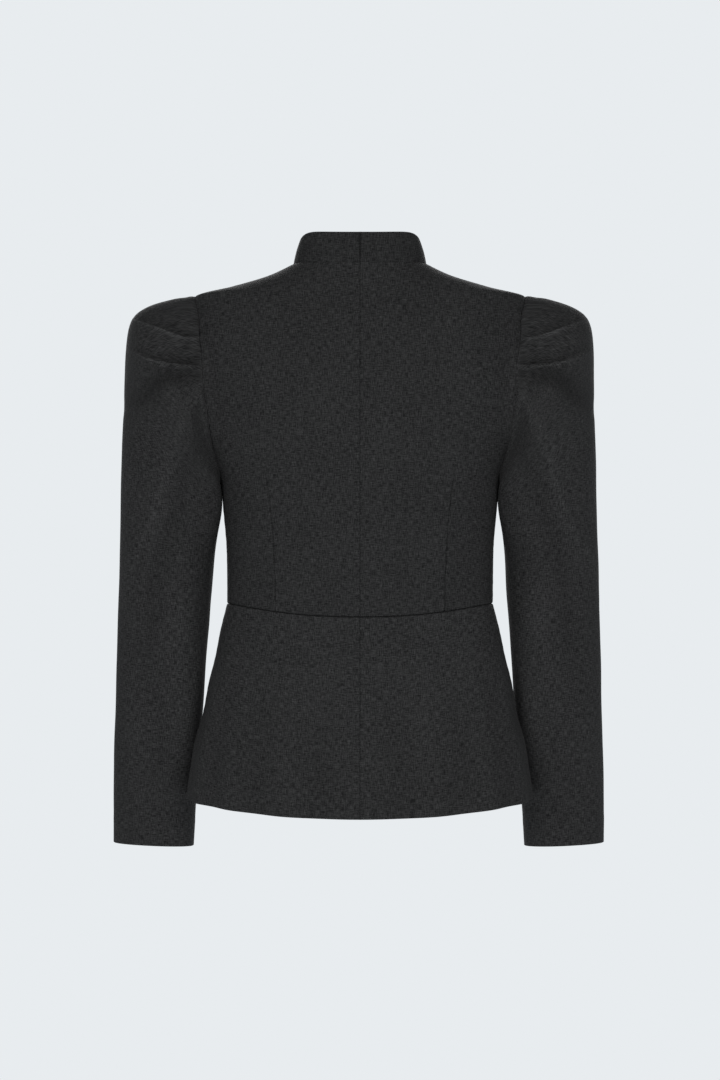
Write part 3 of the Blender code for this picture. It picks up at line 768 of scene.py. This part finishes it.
def collar_foot(side, turn, lifted):
    """Points of the collar's lower edge, on the neckline of the bodice."""
    x, height = neckline(side, turn)
    body_turn = turn_at(x / torso_half_width(height), BODY_FULLNESS)
    body_turn = np.where(np.isclose(turn, math.pi / 2), math.pi / 2, body_turn)
    surface = lambda turn, height: bodice_point(side, turn, height)
    foot = surface(body_turn, height)
    if lifted and side == FRONT:
        foot = lapped(foot, outward(surface, body_turn, height))
    return foot


def collar_rise(side, turn):
    """How the collar's free edge lies from its foot: round its own oval, a stand's height above."""
    if side == BACK:
        depth, stand, fullness = COLLAR_TOP_BACK, COLLAR_STAND_BACK, COLLAR_BACK_FULLNESS
    else:
        depth, stand, fullness = COLLAR_TOP_FRONT, COLLAR_STAND_FRONT, COLLAR_FRONT_FULLNESS
    x, depth = oval(turn, COLLAR_TOP_HALF_WIDTH, depth, fullness)
    held = 1 - np.sin(turn) ** COLLAR_CORNER if side == BACK else np.cos(turn) ** 2
    height = neckline(side, turn)[1] + COLLAR_STAND_SIDE + (stand - COLLAR_STAND_SIDE) * held
    return np.stack([x, side * depth, height], axis=-1) - collar_foot(side, turn, False)


def collar_half(past_centre, lifted, seed):
    """Outer and inner faces of one collar half, from the centre back round to its front end."""
    back_turns = math.pi / 2 * graded(0.11, True, False)
    front_end = -math.asin(past_centre / NECK_HALF_WIDTH)
    front_turns = math.pi / 2 + (front_end - math.pi / 2) * graded(0.13, False, True)[1:]
    foot = np.concatenate([collar_foot(BACK, back_turns, lifted), collar_foot(FRONT, front_turns, lifted)])
    rise = np.concatenate([collar_rise(BACK, back_turns), collar_rise(FRONT, front_turns)])
    run = np.gradient(2 * foot + rise, axis=0)
    run[0] = (1, 0, 0)
    normals = unit(np.cross(run, rise))
    normals *= np.sign(np.sum(normals * (foot * (1, 1, 0)), axis=-1, keepdims=True))
    up = graded(0.033, widest=0.0016)
    base = foot[None] + rise[None] * up[:, None, None]
    normals = np.repeat(normals[None], len(up), axis=0)
    from_near, from_far, from_foot, from_top = edge_distances(base)
    soft_edge = COLLAR_CLOTH / 2
    drawn = puckers(from_near, from_foot, seed) + puckers(from_foot, from_near, seed + 1)
    drawn = COLLAR_PUCKER_DEPTH * drawn + COLLAR_BOW * np.sin(math.pi * up)[:, None]
    drop = np.maximum.reduce([rolled(from_near, COLLAR_CENTRE_ROLL), rolled(from_foot, NECK_ROLL),
                              rolled(from_top, soft_edge), rolled(from_far, soft_edge)])
    inner_edge = soft_edge - 0.0001
    inner_roll = np.maximum(rolled(from_top, inner_edge), rolled(from_far, inner_edge))
    outer = base + normals * (drawn - drop)[..., None]
    inner = base + normals * (drawn - COLLAR_CLOTH + inner_roll)[..., None]
    # Painted shade over the collar, darker along its centre-back seam.
    painted_shading = COLLAR_SEAM_SHADE * seam_line(from_near, 0.0009) + COLLAR_SHADE
    return sewn(outer), sewn(inner), (from_near + COLLAR_GRAIN, from_foot), painted_shading


collar_left = collar_half(LAP_PAST_CENTRE, False, 211)
sew("collar_left_half", "collar_left", *collar_left, (0.27, 0.034), "stretched", 0.0074)
collar_right = mirrored(collar_half(LAP_PAST_CENTRE, True, 231))
sew("collar_right_half", "collar_right", *collar_right, (0.27, 0.034), "stretched", 0.0074)


# The sleeves. Each is cut from the wool in one piece with a seam under the arm, pleated into the armhole
# over a full head, and drapes down the arm in long soft folds to a plain turned-up cuff.
Round = namedtuple("Round", "crown_x crown_height under_x under_height back front middle")
SLEEVE = (
    Round(0.1810, -0.0355, 0.1548, -0.2360, 0.057, 0.065, 0.000),
    Round(0.1970, -0.0362, 0.1568, -0.2385, 0.065, 0.070, 0.000),
    Round(0.2150, -0.0402, 0.1575, -0.2410, 0.072, 0.074, 0.000),
    Round(0.2325, -0.0462, 0.1575, -0.2440, 0.077, 0.077, 0.000),
    Round(0.2480, -0.0570, 0.1575, -0.2470, 0.079, 0.078, 0.000),
    Round(0.2545, -0.0730, 0.1570, -0.2500, 0.078, 0.077, 0.000),
    Round(0.2570, -0.0960, 0.1565, -0.2540, 0.074, 0.074, -0.001),
    Round(0.2582, -0.1260, 0.1560, -0.2590, 0.069, 0.069, -0.002),
    Round(0.2594, -0.1620, 0.1555, -0.2660, 0.064, 0.064, -0.003),
    Round(0.2609, -0.2080, 0.1558, -0.2760, 0.060, 0.060, -0.004),
    Round(0.2620, -0.2580, 0.1573, -0.2940, 0.057, 0.057, -0.006),
    Round(0.2635, -0.3150, 0.1606, -0.3200, 0.054, 0.054, -0.008),
    Round(0.2655, -0.3730, 0.1655, -0.3730, 0.051, 0.051, -0.013),
    Round(0.2680, -0.4300, 0.1705, -0.4300, 0.049, 0.049, -0.024),
    Round(0.2705, -0.4900, 0.1752, -0.4900, 0.0475, 0.0475, -0.038),
    Round(0.2735, -0.5450, 0.1800, -0.5450, 0.046, 0.046, -0.052),
    Round(0.2752, -0.5950, 0.1845, -0.5950, 0.045, 0.045, -0.064),
    Round(0.2760, -0.6405, 0.1880, -0.6445, 0.0445, 0.0445, -0.073),
)
CUFF_FRONT_LOWER = 0.004
sleeve_rank = np.arange(len(SLEEVE), dtype=float)
sleeve_column = {name: smooth_through(sleeve_rank, [getattr(row, name) for row in SLEEVE])
                 for name in Round._fields}


def sleeve_point(station, turn):
    """A point of the smooth sleeve: station counts its sections, turn goes from the crown to the back."""
    def section(at):
        value = {name: column(at) for name, column in sleeve_column.items()}
        share, swing = (1 + np.cos(turn)) / 2, np.sin(turn)
        x = value["under_x"] + (value["crown_x"] - value["under_x"]) * share
        height = value["under_height"] + (value["crown_height"] - value["under_height"]) * share
        depth = value["middle"] + swing * np.where(swing > 0, value["back"], value["front"])
        at_cuff = fade(at, len(SLEEVE) - 3, len(SLEEVE) - 1)
        return np.stack([x, depth, height - CUFF_FRONT_LOWER * (1 - swing) / 2 * at_cuff], axis=-1)

    back = np.sin(turn) >= 0
    depth, height = armhole(np.where(back, BACK, FRONT), np.abs(np.arctan2(np.sin(turn), np.cos(turn))))
    seam = np.where(back[..., None], bodice_point(BACK, body_turn_at_depth(BACK, depth, height), height),
                    bodice_point(FRONT, body_turn_at_depth(FRONT, depth, height), height))
    held = 1 - fade(station, 0, 4)[..., None]
    return section(station) + (seam - section(np.zeros_like(station))) * held


# Hoops run over the sleeve from the back of the armhole to its front. Above the underarm each hoop starts
# at one armhole height and crosses the crown line at another, and below it they are whole rounds.
Hoop = namedtuple("Hoop", "armhole_height crown_height")
HOOPS = (Hoop(-0.0355, -0.0355), Hoop(-0.050, -0.0405), Hoop(-0.079, -0.0615), Hoop(-0.111, -0.0913),
         Hoop(-0.160, -0.150), Hoop(-0.236, -0.236))
hoop_crown = along(HOOPS, "armhole_height", "crown_height")

# The pleats meet the armhole between two heights, and the sleeve head ends at a third.
PLEATED_FROM, PLEATED_TO, HEAD_END = -0.0510, -0.1250, -0.1600


def sleeve_grid():
    """Station and turn of every point of a sleeve, its hoops closest together where the pleats lie."""
    fine = np.linspace(0, len(SLEEVE) - 1, 4000)
    crown_line, under_line = sleeve_column["crown_height"](fine), sleeve_column["under_height"](fine)
    upper = np.concatenate([np.arange(SHOULDER_TIP_HEIGHT, PLEATED_FROM, -0.0016),
                            np.arange(PLEATED_FROM, PLEATED_TO, -0.00062),
                            np.arange(PLEATED_TO, HEAD_END, -0.0019),
                            np.linspace(HEAD_END, UNDERARM_HEIGHT, 26)])
    cuff_height = SLEEVE[-1].under_height
    lower = UNDERARM_HEIGHT + (cuff_height - UNDERARM_HEIGHT) * graded(0.41, False, True, widest=0.0041)[1:]
    half_round = graded(0.20, False, True, widest=0.0034)
    around = np.concatenate([-half_round[::-1], half_round[1:]])
    stations, turns = [], []
    for height in np.concatenate([upper, lower]):
        if height >= UNDERARM_HEIGHT:
            start = 0.0
            end_turn = math.acos(max(-1.0, min(1.0, (height - ARMHOLE_MIDDLE) / ARMHOLE_REACH)))
            crown = np.interp(-hoop_crown(height), -crown_line, fine)
        else:
            share = (height - UNDERARM_HEIGHT) / (cuff_height - UNDERARM_HEIGHT)
            start, end_turn = np.interp(-height, -under_line, fine), math.pi
            crown = np.interp(-height - (SLEEVE[-1].crown_height - cuff_height) * share, -crown_line, fine)
        stations.append(start + (crown - start) * np.cos(around * math.pi / 2) ** 2)
        turns.append(end_turn * around)
    return np.array(stations), np.array(turns)


# Knife pleats at the sleeve head, and the soft folds below, each as a line across and down the back view.
# The amount is how firmly a pleat is folded there, or how far a fold stands out. The cloth above a pleat
# runs in under it.
# Painted light and shade: a painted highlight along each folded edge, painted shade in the recess above it,
# and each fold painted lighter where it stands out and darker where it sinks in.
FOLDED_EDGE = 0.0009
FOLDED_EDGE_WIDTH = 0.0013
PLEAT_STEP = (-0.0006, 0.0010)
PLEAT_EDGE_SHADE = 0.70
PLEAT_EDGE_LINE = 0.0022
UNDER_SHADE = -0.40
UNDER_SHADE_REACH = 0.008
FOLD_SHADE = 70
Crest = namedtuple("Crest", "x height amount")
Fold = namedtuple("Fold", "side spread crests")
Pleat = namedtuple("Pleat", "side under_depth under_spread rise rise_spread crests")

PLEATS = (
    Pleat(BACK, 0.006, 0.013, 0.0026, 0.008,
          ((0.174, -0.0842, 1.0), (0.1922, -0.0826, 1.0), (0.2072, -0.0772, 1.0), (0.2242, -0.0709, 0.8),
           (0.2424, -0.0625, 0.15), (0.253, -0.058, 0.0))),
    Pleat(BACK, 0.0075, 0.015, 0.0028, 0.0065,
          ((0.170, -0.115, 1.0), (0.2029, -0.1114, 1.0), (0.2182, -0.110, 0.9), (0.2344, -0.1038, 0.5),
           (0.247, -0.0965, 0.10), (0.255, -0.0915, 0.0))),
    Pleat(FRONT, 0.004, 0.011, 0.0024, 0.009,
          ((0.164, -0.076, 1.0), (0.205, -0.0735, 1.0), (0.230, -0.065, 0.5),
           (0.242, -0.060, 0.12), (0.252, -0.057, 0.0))),
    Pleat(FRONT, 0.0055, 0.014, 0.0026, 0.008,
          ((0.160, -0.108, 1.0), (0.210, -0.106, 1.0), (0.2335, -0.099, 0.4),
           (0.245, -0.093, 0.10), (0.254, -0.088, 0.0))),
)
FOLDS = (
    Fold(BACK, 0.011, ((0.171, -0.1225, -0.004), (0.205, -0.1245, -0.007), (0.218, -0.130, -0.0072),
          (0.233, -0.145, -0.0058), (0.250, -0.1575, -0.002), (0.260, -0.170, 0.0))),
    Fold(BACK, 0.006, ((0.169, -0.140, 0.0024), (0.1825, -0.164, 0.003), (0.204, -0.2069, 0.003),
          (0.2158, -0.2553, 0.0028), (0.2287, -0.2918, 0.0026), (0.2463, -0.3154, 0.0022),
          (0.258, -0.3669, 0.0008))),
    Fold(BACK, 0.0115, ((0.1632, -0.1758, -0.0006), (0.1757, -0.2123, -0.0022),
          (0.1879, -0.2435, -0.0028), (0.1971, -0.2742, -0.003), (0.2126, -0.317, -0.003),
          (0.2247, -0.3601, -0.0026), (0.2277, -0.3965, -0.0022), (0.240, -0.456, -0.0014),
          (0.256, -0.501, -0.0004))),
    Fold(BACK, 0.006, ((0.215, -0.385, -0.001), (0.225, -0.389, -0.002),
          (0.236, -0.388, -0.0008))),
    Fold(BACK, 0.015, ((0.180, -0.330, 0.0005), (0.190, -0.390, 0.0022), (0.205, -0.460, 0.002),
          (0.220, -0.540, 0.0005))),
    Fold(BACK, 0.013, ((0.242, -0.430, 0.0005), (0.248, -0.500, 0.0018), (0.246, -0.580, 0.0004))),
    Fold(FRONT, 0.012, ((0.160, -0.118, -0.002), (0.210, -0.124, -0.005),
          (0.248, -0.162, -0.003), (0.260, -0.175, -0.001))),
    Fold(FRONT, 0.010, ((0.160, -0.145, 0.003), (0.185, -0.210, 0.004), (0.200, -0.300, 0.003),
          (0.190, -0.370, 0.001))),
    Fold(FRONT, 0.012, ((0.165, -0.180, -0.002), (0.206, -0.260, -0.0035),
          (0.225, -0.340, -0.003), (0.230, -0.400, -0.001))),
    Fold(FRONT, 0.009, ((0.175, -0.370, -0.0008), (0.200, -0.382, -0.0026),
          (0.235, -0.376, -0.0015))),
    Fold(FRONT, 0.010, ((0.178, -0.395, 0.0008), (0.205, -0.408, 0.0022),
          (0.245, -0.400, 0.001))),
)


def nearest_on(line, x, height):
    """Signed distance above a line of crests, and the amount carried along it, for every point."""
    line = [Crest(*row) for row in line]
    distance, amount = np.full(x.shape, np.inf), np.zeros(x.shape)
    for a, b in zip(line, line[1:]):
        run = np.array([b.x - a.x, b.height - a.height])
        share = np.clip(((x - a.x) * run[0] + (height - a.height) * run[1]) / run.dot(run), 0, 1)
        off_x, off_height = x - a.x - run[0] * share, height - a.height - run[1] * share
        away = np.hypot(off_x, off_height)
        closer = away < np.abs(distance)
        distance = np.where(closer, away * np.sign(run[0] * off_height - run[1] * off_x + 1e-12), distance)
        amount = np.where(closer, a.amount + (b.amount - a.amount) * share, amount)
    return distance, amount


def folds_and_pleats(x, height, behind):
    """How far the cloth stands out along the folds and pleats, and the painted light and shade there."""
    lift, painted_shading = np.zeros_like(x), np.zeros_like(x)
    for row in FOLDS:
        away, rise = nearest_on(row.crests, x, height)
        rise = rise * seam_line(away, row.spread) * (behind if row.side == BACK else 1 - behind)
        lift += rise
        painted_shading += FOLD_SHADE * rise
    for row in PLEATS:
        away, strength = nearest_on(row.crests, x, height)
        on_side = behind if row.side == BACK else 1 - behind
        under = -row.under_depth * np.exp(-np.maximum(away, 0) / row.under_spread)
        over = row.rise * seam_line(np.minimum(away, 0), row.rise_spread)
        over = over + FOLDED_EDGE * seam_line(away + FOLDED_EDGE_WIDTH, FOLDED_EDGE_WIDTH)
        lift += (over + (under - over) * fade(away, *PLEAT_STEP)) * strength * on_side
        shade = PLEAT_EDGE_SHADE * seam_line(away + FOLDED_EDGE_WIDTH, PLEAT_EDGE_LINE)
        shade += UNDER_SHADE * np.where(away > 0, np.exp(-away / UNDER_SHADE_REACH), 0)
        painted_shading += shade * np.sqrt(strength) * on_side
    return lift, painted_shading


# How a sleeve hangs. Behind the underarm its inner side is drawn in towards the body, and each side of it
# swings a little out or in on its way down to the cuff.
TUCK = 0.0107
TUCK_TURN = 0.52
TUCK_SPREAD = 0.33
TUCK_HEIGHTS = (-0.340, -0.258, -0.246, -0.204)


def hung(base, stations, turns, at_crown, at_under):
    """The sleeve as it hangs: at_crown and at_under are how far its outer and inner sides swing out."""
    height = base[..., 2]
    tuck = TUCK * seam_line(np.sin(turns) - TUCK_TURN, TUCK_SPREAD) * (np.cos(turns) < 0)
    tuck = tuck * band(height, *TUCK_HEIGHTS) * (stations > 0)
    share = (1 + np.cos(turns)) / 2
    swing = at_crown * share + at_under * (1 - share) * fade(height, -0.28, -0.38)
    swing = swing * fade(height, -0.05, -0.20) * fade(stations, 0.0, 5.0)
    return base + (swing - tuck)[..., None] * (1, 0, 0)


# The sleeves are painted a little lighter all over, and much lighter along the inner side of the forearm,
# less so at the cuff: painted light where the body shades the arm. The head stands up beside the armhole
# seam, most at the shoulder tip.
SLEEVE_PAINTED_LIGHT = 0.06
FOREARM_PAINTED_LIGHT = 1.05
SLEEVE_UNEVENNESS = 0.0006
SLEEVE_PUCKER_DEPTH = 0.0003
HEAD_STANDS = 0.0008
TIP_STANDS = 0.0006
SLEEVE_GRAIN = 0.8


def sleeve_painted_light(turns, height):
    """How much painted light the sleeve gets, by where it lies round the arm and by its height."""
    inside = (1 - fade((1 + np.cos(turns)) / 2, 0.08, 0.46)) * fade(np.sin(turns), -0.6, 0.0)
    down = fade(height, -0.33, -0.52) * (1 - 0.75 * fade(height, -0.53, -0.58))
    return SLEEVE_PAINTED_LIGHT + FOREARM_PAINTED_LIGHT * inside * down


def sleeve_faces(seed, at_crown, at_under):
    """Outer and inner faces of one sleeve, as the wearer's left."""
    stations, turns = sleeve_grid()
    base = sleeve_point(stations, turns)
    around = sleeve_point(stations, turns + 1e-3) - sleeve_point(stations, turns - 1e-3)
    down = sleeve_point(stations + 1e-2, turns) - sleeve_point(np.maximum(stations - 1e-2, 0), turns)
    normals = unit(np.cross(around, down))
    outside = base - (sleeve_point(stations, turns * 0) + sleeve_point(stations, turns * 0 + math.pi)) / 2
    normals *= np.sign(np.median(np.sum(normals * outside, axis=-1)))
    base = hung(base, stations, turns, at_crown, at_under)
    height = base[..., 2]
    to_seam = np.linalg.norm(base - sleeve_point(np.zeros_like(stations), turns), axis=-1)
    from_near, from_far, from_top, from_cuff = edge_distances(base)
    from_edge = np.minimum(from_near, from_far)
    from_seam = np.where(height > UNDERARM_HEIGHT - 0.004, np.minimum(to_seam, from_edge), from_edge)
    lift, painted_shading = folds_and_pleats(base[..., 0], height, fade(np.sin(turns), -0.35, 0.35))
    lift += SLEEVE_UNEVENNESS * ripple(base, 0.07, seed) * fade(to_seam, 0, 0.03)
    lift *= fade(to_seam, 0.0, 0.008)
    at_tip = fade(np.cos(turns), 0.86, 0.99)
    stands = (HEAD_STANDS + TIP_STANDS * at_tip) * seam_line(to_seam - 0.0040, 0.003 + 0.003 * at_tip)
    drawn = SLEEVE_PUCKER_DEPTH * puckers(to_seam, from_top, seed + 1, reach=0.012, wavelength=0.016)
    drop = np.maximum(rolled(from_seam, armhole_roll(height)), rolled(from_cuff, CLOTH / 2))
    base = armhole_fill(base, to_seam, np.sign(np.sin(turns)))
    level = (lift + drawn + stands + hem_lift(from_cuff))[..., None]
    outer = base + normals * (level - drop[..., None])
    inner = base + normals * (level - CLOTH + rolled(from_cuff, INNER_EDGE_ROLL)[..., None])
    turned_in = np.where(height > UNDERARM_HEIGHT - 0.002, SEAM_TURNED_IN, SEWN_OVER)
    # Painted light over the sleeve and the inner forearm, and painted light and shade along the armhole.
    painted_shading += sleeve_painted_light(turns, height) + armhole_shade(height) * seam_line(to_seam, ARMHOLE_LINE)
    crown = base.shape[1] // 2
    grain = from_near - from_near[:, crown:crown + 1] + SLEEVE_GRAIN, from_cuff
    return sewn(outer), sewn(inner, turned_in), grain, painted_shading


sleeve_left = sleeve_faces(311, 0.0014, -0.0004)
sew("sleeve_left_piece", "sleeve_left", *sleeve_left, (0.41, 0.69), "hung", 0.191)
sleeve_right = mirrored(sleeve_faces(331, -0.0014, -0.0028))
sew("sleeve_right_piece", "sleeve_right", *sleeve_right, (0.41, 0.69), "hung", 0.191)
